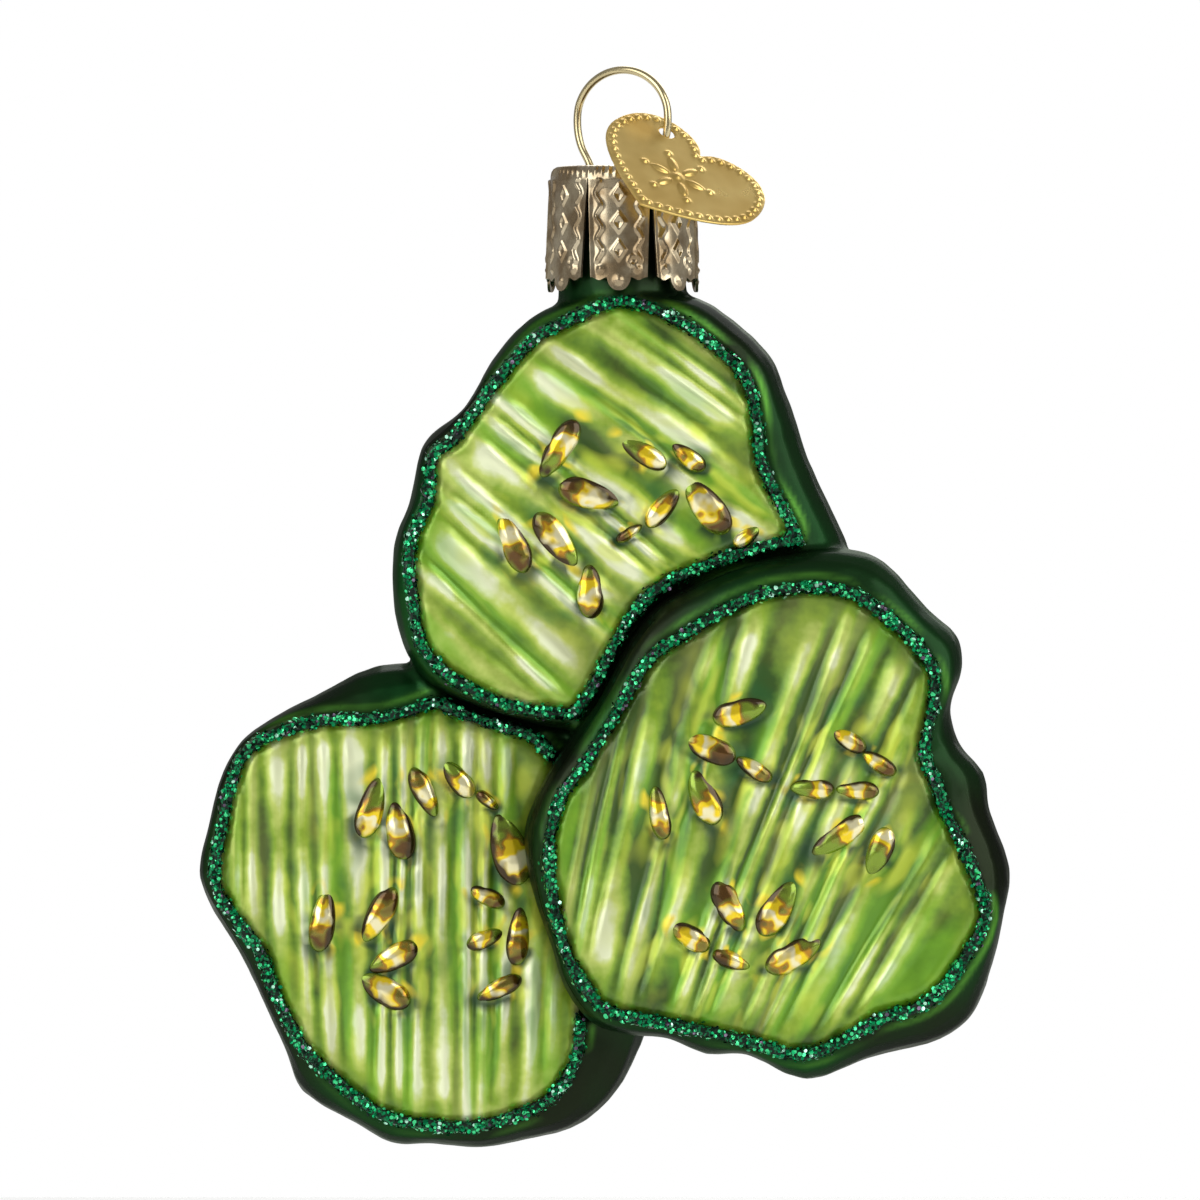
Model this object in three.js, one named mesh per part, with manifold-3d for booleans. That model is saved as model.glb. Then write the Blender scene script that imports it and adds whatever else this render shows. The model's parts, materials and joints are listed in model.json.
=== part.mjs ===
import * as THREE from 'three';
import { mergeVertices } from 'three/addons/utils/BufferGeometryUtils.js';
import Module from 'manifold-3d';

const wasm = await Module();
wasm.setup();

// A blown-glass ornament of three crinkle-cut pickle slices, with its metal cap, wire loop and heart tag.
// Sizes are in millimetres and angles in degrees. +Z is up and the ornament faces -Y.
// The origin is the inside top of the wire loop, where a hook carries the ornament.

// Clearances
const seatGap = 0.3;
const holePlay = 0.35;

// Glass slices
const ornamentWidth = 73;
const sliceThickness = 12;
const sliceStep = 4.5;
const edgeFlat = 2.4;
const glassWall = 1;
const outlineSteps = 3;
const hollowSteps = 1;
const roundingTurns = [0, 30, 60, 90];

// Lacquered, crinkled faces
const lacquerBase = 0.5;
const ridgeHeight = 0.7;
const ridgePitch = 2.7;
const ridgeUnevenness = 0.16;
const ridgeReach = 30;

// Glitter bands
const bandWidth = 1.35;
const bandHeight = 1.3;

// Seeds
const seedSlimness = 0.4;
const seedRise = 0.5;
const seedSides = 6;

// Metal cap
const capTopRadius = 6.5;
const capSkirtRadius = 7;
const capTop = -8.4;
const capSheet = 0.4;
const capBevel = 0.35;
const tabCount = 7;
const tabLength = 10.1;
const tabLobe = 1.2;
const slitStart = 0.8;
const slitWidth = 0.8;
const slitTurn = -28.6;

// Glass neck
const neckWall = 1;
const neckSides = 28;

// Wire loop
const wireDiameter = 0.72;
const loopHalfWidth = 4.9;
const loopWidestDepth = 3.97;
const loopLowerReach = 6;
const loopTurn = 33;
const footHalfSpan = 3.34;
const legEndHalfSpan = 3.9;
const legLength = 11;
const wireSteps = 60;

// Heart tag
const tagHalfWidth = 7.9;
const tagLobeHeight = 2.15;
const tagTipDepth = 11.7;
const tagThickness = 0.35;
const tagHoleDiameter = 1.54;
const tagHoleAcross = -3.8;
const tagHoleUp = 0.25;
const tagHoleDepth = 5.48;
const tagSideSlope = 0.65;
const tagLeanSlope = 1.3;
const tagTurn = 40.3;

// The slices, with every length in hundredths of the ornament's width. A centre lies below the neck's top.
// Each silhouette runs clockwise from its top as seen from the front: [x, z, width of the dark edge].
// Seeds: [x, z, turn, length]. Both are measured from the slice's centre.
const drawnSlices = [
  {
    name: 'right',
    centre: [17.7, -79.7],
    layer: -1,
    ridgeTurn: 70,
    outline: [
      [5.3, 33.3, 4.7], [10.5, 33.3, 5.2], [14.2, 32.1, 5.5], [19.9, 25.8, 4.1], [23.6, 22.5, 4.9],
      [24.1, 18.8, 4.5], [22.6, 13.8, 3.2], [23.6, 9.7, 4.7], [26.6, 5.9, 6], [27.4, 1.5, 5.6],
      [29.9, -5.9, 5.3], [29, -12.6, 2.5], [27.1, -20, 4.2], [24.8, -24.5, 5.1], [21.4, -27, 5.3],
      [16, -28.4, 4.8], [11.8, -29.5, 3.6], [4.9, -31.9, 3.3], [-2.5, -28.8, 1.9], [-7.4, -28.8, 3],
      [-12.3, -26.8, 2.1], [-17.3, -26.3, 2.6], [-21.6, -24.8, 2.5], [-24.8, -20.4, 2.2],
      [-26.6, -15.1, 1.6], [-29.3, -6.4, 2.7], [-29.6, -1, 3.2], [-27.8, 4, 2.9], [-25.3, 8.4, 3.4],
      [-20.7, 14.8, 2.7], [-16.4, 23, 3.6], [-13.2, 27.1, 5.2], [-7.1, 30.1, 4.8], [-1.2, 32.1, 4.4],
    ],
    seeds: [
      [-3.4, 13.4, 16, 5.9], [-7, 8.9, -22, 5.8], [-1.6, 6.4, -32, 4.4], [-13.2, 1, -80, 5.8],
      [-7.7, 2.9, -67, 6.2], [10, 9.9, -30, 4.2], [13.7, 7.1, -32, 4.2], [5.5, 4, -3, 4.7],
      [11.1, 3.8, -3, 4.7], [8.8, -1.8, 34, 6.8], [13.8, -3.6, 67, 5.5], [-4.7, -10.4, -63, 5.9],
      [1.2, -10.7, 58, 6.6], [-9.5, -14.1, -33, 4.9], [-4.4, -17, -21, 4.2], [3.2, -16.4, 29, 6.6],
    ],
  },
  {
    name: 'top',
    centre: [-2.2, -40.8],
    layer: 0,
    ridgeTurn: -38,
    outline: [
      [2.1, 26.7, 1.8], [7.8, 26.4, 3], [13.3, 24.7, 4.1], [20.3, 18.5, 4.2], [22.2, 14.5, 4.5],
      [25.1, 5.8, 5.8], [28.8, -2.3, 6.3], [30.3, -6.3, 6.6], [30, -13.3, 6.2], [26.6, -21, 5.5],
      [19.2, -27.3, 4.8], [9.3, -29, 3.7], [0.7, -28.8, 2.9], [-5.2, -27.8, 2.1], [-10.3, -26.6, 1.5],
      [-16.4, -24.8, 1.8], [-21.5, -22.2, 2.3], [-24.4, -18.5, 2.3], [-25.8, -13.6, 2.7], [-26.2, -8.6, 2.3],
      [-25.8, -4, 2.3], [-24, 0.3, 2.3], [-22.7, 6.8, 1.8], [-21.2, 8.8, 2.7], [-17.4, 11.9, 1.4],
      [-14, 17.8, 2.3], [-9.2, 23, 2.6], [-5.3, 24.9, 2.6],
    ],
    seeds: [
      [-5.6, 6.8, 58, 7.1], [-1.9, 1.2, -14, 6.8], [-11.2, -4.7, -68, 7], [-6, -4.4, -54, 7.1],
      [-1.8, -10.8, -88, 5.8], [4.7, 6.3, -32, 5.9], [10.3, 5.8, -40, 4.4], [12.6, -0.3, -52, 7.1],
      [7.1, -0.5, 50, 5.2], [3, -3.6, 32, 3.2], [17.4, -4.1, 45, 3.8],
    ],
  },
  {
    name: 'left',
    centre: [-26.3, -91.5],
    layer: 1,
    ridgeTurn: 90,
    outline: [
      [5.8, 30.5, 4.1], [14.8, 29, 6.2], [20.4, 26.6, 6.8], [24.8, 21.6, 7.3], [28.5, 14.2, 7],
      [30.3, 5.6, 7.5], [31, -3.2, 8.8], [30.3, -10.5, 9.5], [28.6, -16.3, 8.5], [24.9, -22.9, 6.3],
      [20, -26.6, 4.8], [14.2, -27.9, 3.4], [8.6, -28.9, 3], [2.7, -28.5, 2.7], [-2.2, -28.4, 3.3],
      [-5.9, -26.4, 3], [-13.4, -21.9, 4.2], [-15.3, -17.4, 2.5], [-19, -9, 2.1], [-21, -5.2, 2.7],
      [-25.2, 2.1, 2.1], [-26.2, 5.3, 2.2], [-24.5, 12.7, 1.8], [-23.2, 17.5, 1.6], [-20.7, 21.6, 1.4],
      [-16.3, 24.7, 2.1], [-11.8, 27, 3.2], [-4, 30.7, 6.4],
    ],
    seeds: [
      [-4.7, 13.3, 73, 6.8], [-1.2, 10.4, -79, 6.3], [1.8, 15.2, -64, 5.8], [6, 16.8, -50, 4.9],
      [9.6, 14.2, -40, 3], [12.3, 8.1, -72, 7.9], [-10.7, -0.7, 82, 6.7], [-3.7, 0.1, 60, 6.6],
      [-1.9, -5.2, 28, 5.8], [-3, -9.3, -30, 6], [9.6, 2.3, -25, 4.2], [9.3, -2.9, 22, 4.2],
      [13.4, -2.6, 85, 6.3], [11.1, -9, 26, 5.2],
    ],
  },
];
// The rearmost slice of a side meets the foremost one without a glitter band between them.
const bareSeamLayers = 2;

const degrees = THREE.MathUtils.degToRad;
const neckRadius = capTopRadius - capSheet - seatGap;
const neckTop = capTop - capSheet - seatGap;
const sliceHalf = sliceThickness / 2;
const faceHeight = lacquerBase + ridgeHeight;
const hundredth = ornamentWidth / 100;
const slices = drawnSlices.map(({ centre, outline, seeds, ...rest }) => ({
  ...rest,
  centre: [centre[0] * hundredth, neckTop + centre[1] * hundredth],
  outline: outline.map((row) => row.map((value) => value * hundredth)),
  seeds: seeds.map(([x, z, turn, length]) => [x * hundredth, z * hundredth, turn, length * hundredth]),
}));

function material(colour, roughness, metalness) {
  return new THREE.MeshStandardMaterial({ color: colour, roughness, metalness });
}

// Turns a closed geometry into a solid, with its faces pointing out.
function solid(geometry) {
  const bare = new THREE.BufferGeometry();
  bare.setAttribute('position', geometry.getAttribute('position'));
  bare.setIndex(geometry.getIndex());
  const merged = mergeVertices(bare, 1e-4);
  const positions = merged.getAttribute('position').array;
  const corners = [];
  let volume = 0;
  const [a, b, c] = [new THREE.Vector3(), new THREE.Vector3(), new THREE.Vector3()];
  const index = merged.getIndex().array;
  for (let i = 0; i < index.length; i += 3) {
    const [p, q, r] = index.slice(i, i + 3);
    if (p === q || q === r || r === p) {
      continue;
    }
    corners.push(p, q, r);
    volume += a.fromArray(positions, p * 3).dot(
      b.fromArray(positions, q * 3).cross(c.fromArray(positions, r * 3)));
  }
  if (volume < 0) {
    corners.reverse();
  }
  return new wasm.Manifold(new wasm.Mesh({
    numProp: 3,
    vertProperties: positions,
    triVerts: new Uint32Array(corners),
  }));
}

// Gives a solid back as a faceted geometry.
function geometryOf(shape) {
  const mesh = shape.getMesh();
  const geometry = new THREE.BufferGeometry();
  geometry.setAttribute('position', new THREE.BufferAttribute(mesh.vertProperties, 3));
  geometry.setIndex(new THREE.BufferAttribute(mesh.triVerts, 1));
  const faceted = geometry.toNonIndexed();
  faceted.computeVertexNormals();
  return faceted;
}

function piece(name, shape, finish) {
  const mesh = new THREE.Mesh(geometryOf(shape), finish);
  mesh.name = name;
  return mesh;
}

function joined(shapes) {
  return shapes.reduce((whole, shape) => whole.add(shape));
}

// A smooth closed outline through points in the XZ plane.
function smoothOutline(points, steps) {
  const curve = new THREE.CatmullRomCurve3(
    points.map(([x, z]) => new THREE.Vector3(x, 0, z)), true, 'centripetal');
  const count = points.length * steps;
  return Array.from({ length: count }, (_, i) => {
    const point = curve.getPoint(i / count);
    return new THREE.Vector2(point.x, point.z);
  });
}

function rimOutline(slice, steps = outlineSteps) {
  return smoothOutline(slice.outline, steps);
}

// The line along the middle of the glitter band, inside the silhouette by the width of the dark edge.
function bandLine(slice, steps = outlineSteps) {
  const line = slice.outline.map(([x, z, edge]) => {
    const share = 1 - edge / Math.hypot(x, z);
    return [x * share, z * share];
  });
  return smoothOutline(line, steps);
}

// Moves a clockwise outline inwards, or outwards where the distance is negative.
function offset(points, distance) {
  return points.map((point, i) => {
    const before = points.at(i - 1);
    const after = points[(i + 1) % points.length];
    const along = after.clone().sub(before).normalize();
    return new THREE.Vector2(point.x + along.y * distance, point.y - along.x * distance);
  });
}

function lid(points, facesFront) {
  const triangles = THREE.ShapeUtils.triangulateShape(points, []);
  const area = triangles.reduce((sum, [a, b, c]) => (
    sum + points[b].clone().sub(points[a]).cross(points[c].clone().sub(points[a]))), 0);
  const anticlockwise = area > 0;
  return triangles.map((corners) => (anticlockwise === facesFront ? corners : [...corners].reverse()));
}

// A closed solid through matching outlines, each { y, points }, from the front to the back.
function loft(rings) {
  const count = rings[0].points.length;
  const positions = rings.flatMap(({ y, points }) => points.flatMap((point) => [point.x, y, point.y]));
  const corners = [];
  for (let ring = 0; ring < rings.length - 1; ring += 1) {
    for (let i = 0; i < count; i += 1) {
      const next = (i + 1) % count;
      const [a, b] = [ring * count + i, ring * count + next];
      corners.push(a, b, b + count, a, b + count, a + count);
    }
  }
  const last = (rings.length - 1) * count;
  corners.push(...lid(rings[0].points, true).flat());
  corners.push(...lid(rings.at(-1).points, false).flat().map((i) => i + last));
  const geometry = new THREE.BufferGeometry();
  geometry.setAttribute('position', new THREE.Float32BufferAttribute(positions, 3));
  geometry.setIndex(corners);
  return solid(geometry);
}

function prism(points, yFront, yBack) {
  return loft([{ y: yFront, points }, { y: yBack, points }]);
}

// An upright cylinder between two heights.
function upright(radius, low, high, sides) {
  const geometry = new THREE.CylinderGeometry(radius, radius, high - low, sides);
  geometry.rotateX(Math.PI / 2);
  geometry.translate(0, 0, (low + high) / 2);
  return solid(geometry);
}

// Builds a solid from a flat shape pushed along the third of three directions at right angles.
function pushed(shape, depth, across, up, out, at) {
  const geometry = new THREE.ExtrudeGeometry(shape, { depth, bevelEnabled: false, curveSegments: 7 });
  geometry.applyMatrix4(new THREE.Matrix4().makeBasis(across, up, out).setPosition(at));
  return solid(geometry);
}

function sliceY(slice) {
  return slice.layer * sliceStep;
}

// One slice of the blown glass: flat faces, and an edge rounded out to the silhouette.
// A shrink, with fewer steps along the outline, makes the hollow inside it.
function sliceGlass(slice, shrink, steps) {
  const rim = offset(rimOutline(slice, steps), shrink);
  const face = offset(bandLine(slice, steps), shrink - bandWidth / 2);
  const half = sliceHalf - shrink;
  const rise = half - edgeFlat / 2;
  const front = roundingTurns.map((turn) => ({
    y: -half + rise * (1 - Math.cos(degrees(turn))),
    points: face.map((point, i) => point.clone().lerp(rim[i], Math.sin(degrees(turn)))),
  }));
  const back = front.map(({ y, points }) => ({ y: -y, points })).reverse();
  const [x, z] = slice.centre;
  return loft([...front, ...back]).translate(x, sliceY(slice), z);
}

// The neck and its bore reach down to the middle of the top slice.
function glassBody() {
  const neckBottom = slices.find(({ name }) => name === 'top').centre[1];
  const outside = joined([
    ...slices.map((slice) => sliceGlass(slice, 0, outlineSteps)),
    upright(neckRadius, neckBottom, neckTop, neckSides),
  ]);
  const inside = joined([
    ...slices.map((slice) => sliceGlass(slice, glassWall, hollowSteps)),
    upright(neckRadius - neckWall, neckBottom, neckTop + neckWall, neckSides),
  ]);
  return piece('glass_body', outside.subtract(inside), material(0x1c3f16, 0.18, 0.55));
}

// The slices that lie over this one as seen from a side: -1 is the front and 1 the back.
function slicesOver(slice, side) {
  return slices.filter((other) => (other.layer - slice.layer) * side > 0);
}

// The part of a slice's face that shows from a side. It stays inside the band line by inset,
// and clear of the slices over it by seam, apart from a bare seam.
function faceRegion(slice, side, inset, seam, depth) {
  const own = prism(offset(bandLine(slice), inset), -depth, depth);
  return slicesOver(slice, side).reduce((region, over) => {
    const bare = Math.abs(over.layer - slice.layer) === bareSeamLayers;
    const clear = seatGap + (bare ? 0 : seam);
    const [dx, dz] = over.centre.map((value, i) => value - slice.centre[i]);
    const cutter = prism(offset(rimOutline(over), -clear), -2 * depth, 2 * depth);
    return region.subtract(cutter.translate(dx, 0, dz));
  }, own);
}

// A slab with an uneven wave on top. Its underside passes through the origin.
function crinkledSlab(turn, side) {
  const along = new THREE.Vector3(Math.cos(degrees(turn)), 0, Math.sin(degrees(turn)));
  const out = new THREE.Vector3(0, side, 0);
  const across = out.clone().cross(along);
  const shape = new THREE.Shape();
  shape.moveTo(-ridgeReach, 0);
  shape.lineTo(ridgeReach, 0);
  const quarter = ridgePitch / 4;
  for (let u = ridgeReach, step = 0; u > -ridgeReach; u -= quarter, step += 1) {
    const slip = ridgePitch * ridgeUnevenness * Math.sin(step * 0.9);
    const wave = 0.5 - 0.5 * Math.cos(step * Math.PI / 2);
    shape.lineTo(Math.max(-ridgeReach, Math.min(ridgeReach, u + slip)), lacquerBase + ridgeHeight * wave);
  }
  shape.lineTo(-ridgeReach, lacquerBase);
  return pushed(shape, 2 * ridgeReach, across, out, along, along.clone().multiplyScalar(-ridgeReach));
}

// A pointed lens that rises out of the crinkled lacquer, with its length along the turn.
function seed([x, z, turn, length], side) {
  const levels = [[lacquerBase / 2, 1], [faceHeight, 1], [faceHeight + seedRise, 0.5]];
  const rings = levels.map(([height, share]) => ({
    y: side * height,
    points: Array.from({ length: seedSides }, (_, i) => {
      const angle = -i * 2 * Math.PI / seedSides;
      const lengthwise = share * Math.cos(angle) * length / 2;
      const crosswise = share * Math.sin(angle) * length * seedSlimness / 2;
      return new THREE.Vector2(lengthwise, crosswise).rotateAround(new THREE.Vector2(), degrees(turn));
    }),
  }));
  return loft(rings.sort((a, b) => a.y - b.y)).translate(x, 0, z);
}

// The lacquered face of a slice, crinkled and with its seeds standing out of it.
function lacquerFace(slice, side) {
  const clear = bandWidth + seatGap;
  const region = faceRegion(slice, side, bandWidth / 2 + seatGap, clear, faceHeight + 2 * seedRise);
  const seeds = slice.seeds.map((spot) => seed(spot, side));
  const relief = joined([crinkledSlab(slice.ridgeTurn, side), ...seeds]);
  return region.intersect(relief);
}

function glitterBand(slice, side) {
  const outer = faceRegion(slice, side, -bandWidth / 2, 0, bandHeight);
  const inner = faceRegion(slice, side, bandWidth / 2, bandWidth, 2 * bandHeight);
  const [front, back] = side < 0 ? [-bandHeight, 0] : [0, bandHeight];
  return outer.subtract(inner).intersect(prism(offset(rimOutline(slice), -bandWidth), front, back));
}

// The lacquer and the glitter on one face of a slice, in place from the slice's centre.
function facePieces(slice, side) {
  const sideName = side < 0 ? 'front' : 'back';
  const lacquer = piece(`${slice.name}_lacquer_${sideName}`, lacquerFace(slice, side),
    material(0x8fb848, 0.3, 0.35));
  const glitter = piece(`${slice.name}_glitter_${sideName}`, glitterBand(slice, side),
    material(0x006e4b, 0.5, 0.4));
  lacquer.position.y = side * (sliceHalf + seatGap);
  glitter.position.y = side * (sliceHalf + seatGap);
  return [lacquer, glitter];
}

function sliceGroup(slice) {
  const group = new THREE.Group();
  group.position.set(slice.centre[0], sliceY(slice), slice.centre[1]);
  group.add(...facePieces(slice, -1), ...facePieces(slice, 1));
  return group;
}

// The wall of the cap: a stamped cup whose skirt flares a little.
function capCup() {
  const bottom = -tabLength - tabLobe;
  const profile = [
    [0, 0], [capTopRadius - capBevel, 0], [capTopRadius, -capBevel],
    [capSkirtRadius, bottom], [capSkirtRadius - capSheet, bottom],
    [capTopRadius - capSheet, -capSheet], [0, -capSheet],
  ].map(([radius, height]) => new THREE.Vector2(radius, height));
  const geometry = new THREE.LatheGeometry(profile, tabCount * 8);
  geometry.rotateX(Math.PI / 2);
  return solid(geometry);
}

// Opens the slit between two tabs and shapes the lower corner of each into its lobe.
function slitCutter(turn) {
  const tabWidth = 2 * Math.PI * capSkirtRadius / tabCount;
  const half = slitWidth / 2;
  const corner = [
    [half / 4, -slitStart], [half, tabLobe / 4 - tabLength], [half * 2, -tabLength],
    [tabWidth * 0.25, -tabLength - tabLobe * 0.12], [tabWidth * 0.31, -tabLength - tabLobe * 0.6],
    [tabWidth * 0.4, -tabLength - tabLobe * 0.93], [tabWidth * 0.4, -tabLength - 2 * tabLobe],
  ];
  const mirrored = corner.map(([u, height]) => [-u, height]).reverse();
  const shape = new THREE.Shape([...mirrored, ...corner].map((spot) => new THREE.Vector2(...spot)));
  const across = new THREE.Vector3(Math.cos(degrees(turn)), Math.sin(degrees(turn)), 0);
  const up = new THREE.Vector3(0, 0, 1);
  const out = across.clone().cross(up);
  const start = out.clone().multiplyScalar(capTopRadius / 2);
  return pushed(shape, capSkirtRadius, across, up, out, start);
}

function cap() {
  const slits = Array.from({ length: tabCount }, (_, i) => slitCutter(slitTurn + i * 360 / tabCount));
  const holeRadius = wireDiameter / 2 + holePlay;
  const holes = [-1, 1].map((hand) => {
    const turn = degrees(-loopTurn);
    const spot = [Math.cos(turn), Math.sin(turn)].map((share) => hand * footHalfSpan * share);
    return upright(holeRadius, -2 * capSheet, capSheet, 16).translate(spot[0], spot[1], 0);
  });
  const mesh = piece('cap', [...slits, ...holes].reduce((shape, cutter) => shape.subtract(cutter), capCup()),
    material(0xa89878, 0.3, 0.9));
  mesh.position.z = capTop;
  return mesh;
}

// Half the loop's width at a height: a rounder arch above its widest point, a longer one below.
function loopHalfWidthAt(height) {
  const above = height + loopWidestDepth;
  const reach = above > 0 ? loopWidestDepth + wireDiameter / 2 : loopLowerReach;
  return loopHalfWidth * Math.sqrt(1 - (above / reach) ** 2);
}

// The wire's middle line: up from one leg's end inside the neck, round the loop and down the other leg.
function wirePath() {
  const top = loopWidestDepth + wireDiameter / 2;
  const arch = [0, 25, 50, 75].map((turn) => [
    loopHalfWidth * Math.sin(degrees(turn)), top * Math.cos(degrees(turn)) - loopWidestDepth]);
  const lower = [-loopWidestDepth - 0.8, -tagHoleDepth, -tagHoleDepth - 1.1].map(
    (height) => [loopHalfWidthAt(height), height]);
  const foot = [footHalfSpan, capTop - capSheet / 2];
  const leg = [0.35, 0.7, 1].map((share) => [
    THREE.MathUtils.lerp(footHalfSpan, legEndHalfSpan, share), foot[1] - legLength * share]);
  const half = [...arch, ...lower, foot, ...leg];
  const other = half.slice(1).map(([x, z]) => [-x, z]).reverse();
  const points = [...other, ...half].map(([x, z]) => new THREE.Vector3(x, 0, z));
  return new THREE.CatmullRomCurve3(points, false, 'centripetal');
}

function hangerWire() {
  const section = new THREE.Shape().absarc(0, 0, wireDiameter / 2, 0, 2 * Math.PI);
  const geometry = new THREE.ExtrudeGeometry(section, {
    steps: wireSteps, curveSegments: 4, extrudePath: wirePath(),
  });
  const mesh = piece('hanger_wire', solid(geometry), material(0xd9c089, 0.2, 1));
  mesh.rotation.z = degrees(-loopTurn);
  return mesh;
}

function heartShape() {
  const shape = new THREE.Shape();
  const [w, h, tip] = [tagHalfWidth, tagLobeHeight, -tagTipDepth];
  shape.moveTo(0, 0);
  shape.bezierCurveTo(w * 0.07, h * 0.7, w * 0.25, h, w * 0.46, h);
  shape.bezierCurveTo(w * 0.8, h, w, 0, w, tip * 0.27);
  shape.bezierCurveTo(w, tip * 0.57, w * 0.52, tip * 0.8, 0, tip);
  shape.bezierCurveTo(-w * 0.52, tip * 0.8, -w, tip * 0.57, -w, tip * 0.27);
  shape.bezierCurveTo(-w, 0, -w * 0.8, h, -w * 0.46, h);
  shape.bezierCurveTo(-w * 0.25, h, -w * 0.07, h * 0.7, 0, 0);
  const hole = new THREE.Path().absarc(tagHoleAcross, tagHoleUp, tagHoleDiameter / 2, 0, 2 * Math.PI);
  shape.holes.push(hole);
  return shape;
}

// The tag hangs on the wire at its hole and leans forward over the cap.
function heartTag() {
  const climb = (x, z) => new THREE.Vector3(x, tagSideSlope * x + tagLeanSlope * z, z).normalize();
  const up = climb(Math.cos(degrees(tagTurn)), Math.sin(degrees(tagTurn)));
  const out = new THREE.Vector3(tagSideSlope, -1, tagLeanSlope).normalize();
  const across = up.clone().cross(out);
  const geometry = new THREE.ExtrudeGeometry(heartShape(), {
    depth: tagThickness, bevelEnabled: false, curveSegments: 6,
  });
  geometry.translate(-tagHoleAcross, -tagHoleUp, -tagThickness / 2);
  const mesh = piece('heart_tag', solid(geometry), material(0xc39a45, 0.25, 0.95));
  mesh.quaternion.setFromRotationMatrix(new THREE.Matrix4().makeBasis(across, up, out));
  const turn = degrees(-loopTurn);
  const reach = loopHalfWidthAt(-tagHoleDepth);
  mesh.position.set(reach * Math.cos(turn), reach * Math.sin(turn), -tagHoleDepth);
  return mesh;
}

const ornament = new THREE.Group();
ornament.add(glassBody(), ...slices.map(sliceGroup), cap(), hangerWire(), heartTag());

export default ornament;
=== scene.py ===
"""Looks of the blown-glass ornament of crinkle-cut pickle slices, built round its CAD frame."""

import json
import math

import bpy
import numpy as np
from mathutils import Matrix, Vector


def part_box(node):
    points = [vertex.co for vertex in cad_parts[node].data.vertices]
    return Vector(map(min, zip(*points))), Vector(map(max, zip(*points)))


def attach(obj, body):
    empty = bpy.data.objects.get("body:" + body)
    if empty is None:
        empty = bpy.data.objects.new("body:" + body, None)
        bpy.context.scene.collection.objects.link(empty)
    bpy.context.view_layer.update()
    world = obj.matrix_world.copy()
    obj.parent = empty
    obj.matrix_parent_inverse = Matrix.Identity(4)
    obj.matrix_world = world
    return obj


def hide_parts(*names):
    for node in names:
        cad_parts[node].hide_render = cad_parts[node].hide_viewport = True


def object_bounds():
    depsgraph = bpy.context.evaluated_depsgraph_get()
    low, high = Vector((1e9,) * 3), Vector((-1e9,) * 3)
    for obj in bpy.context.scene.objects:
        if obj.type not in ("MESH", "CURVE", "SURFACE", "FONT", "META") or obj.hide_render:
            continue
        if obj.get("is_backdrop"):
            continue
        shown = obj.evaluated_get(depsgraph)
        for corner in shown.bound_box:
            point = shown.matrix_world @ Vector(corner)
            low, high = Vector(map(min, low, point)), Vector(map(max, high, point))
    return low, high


bl_info = {
    "name": "Pickle slice ornament",
    "version": (1, 0, 0),
    "blender": (4, 5, 0),
    "location": "View3D > Sidebar > Ornament",
    "description": "Models and finishes the glass, faces, seeds, glitter, cap, wire and tag",
    "category": "Object",
}

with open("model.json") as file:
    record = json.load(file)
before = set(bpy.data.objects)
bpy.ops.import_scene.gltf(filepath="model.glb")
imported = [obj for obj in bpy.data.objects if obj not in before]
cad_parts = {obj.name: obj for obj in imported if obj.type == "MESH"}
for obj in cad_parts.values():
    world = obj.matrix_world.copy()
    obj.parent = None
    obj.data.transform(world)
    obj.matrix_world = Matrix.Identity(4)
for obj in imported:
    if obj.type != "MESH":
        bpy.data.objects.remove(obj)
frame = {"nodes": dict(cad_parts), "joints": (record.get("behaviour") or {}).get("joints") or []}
cad_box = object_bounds()

MM = 0.001
WELD = 0.002 * MM
FLAT = 0.01 * MM
SLICES = ("right", "top", "left")
SIDES = {"front": -1, "back": 1}
COATS = [(name, side_name) for name in SLICES for side_name in SIDES]


def srgb(red, green, blue):
    """A screen colour, 0 to 255, as the linear values that Blender works with."""
    levels = [level / 255 for level in (red, green, blue)]
    return tuple(v / 12.92 if v <= 0.04045 else ((v + 0.055) / 1.055) ** 2.4 for v in levels)


def numbers(name, description, unit, values):
    """One number in the sidebar, or three, for the slices in the order of SLICES."""
    if len(values) == 1:
        return bpy.props.FloatProperty(
            name=name, description=description, default=values[0], unit=unit, precision=5)
    return bpy.props.FloatVectorProperty(
        name=name, description=description, default=values, unit=unit, precision=5, size=3)


def length(name, description, *millimetres):
    """A size in the sidebar."""
    return numbers(name, description, "LENGTH", [size * MM for size in millimetres])


def amount(name, description, *values):
    """A plain number in the sidebar."""
    return numbers(name, description, "NONE", values)


def angle(name, description, *degrees):
    """An angle in the sidebar."""
    return numbers(name, description, "ROTATION", [math.radians(turn) for turn in degrees])


def colour(name, description, red, green, blue):
    """A colour in the sidebar, given as it looks on a screen."""
    return bpy.props.FloatVectorProperty(
        name=name, description=description, subtype="COLOR", size=3, min=0, max=1,
        default=srgb(red, green, blue))


# Sizes and colours

class GlassSettings(bpy.types.PropertyGroup):
    """The blown glass of the slices and the neck."""

    cell: length("Mesh size", "Side of a face of the glass", 0.42)
    bore_depth: length("Bore depth", "Where the open bore ends, below the origin", 20)
    dent: length("Dents", "How uneven the blown surface is", 0.3)
    dent_span: length("Dent span", "Distance between the dents", 5)
    deep: colour("Deep green", "Rims where the lacquer is thick", 32, 40, 25)
    clear: colour("Clear green", "Rims where the lacquer is thin", 18, 70, 30)
    # Gleam is a painted highlight: a bright green line on the glass beside the glitter, standing
    # in for caught light.
    gleam: colour("Gleam", "Bright green line along the glitter", 88, 150, 54)
    gleam_reach: length("Gleam reach", "From the edge of a face to the bright line", 2.05)
    gleam_width: length("Gleam width", "Half the width of the bright line", 0.27)


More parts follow.
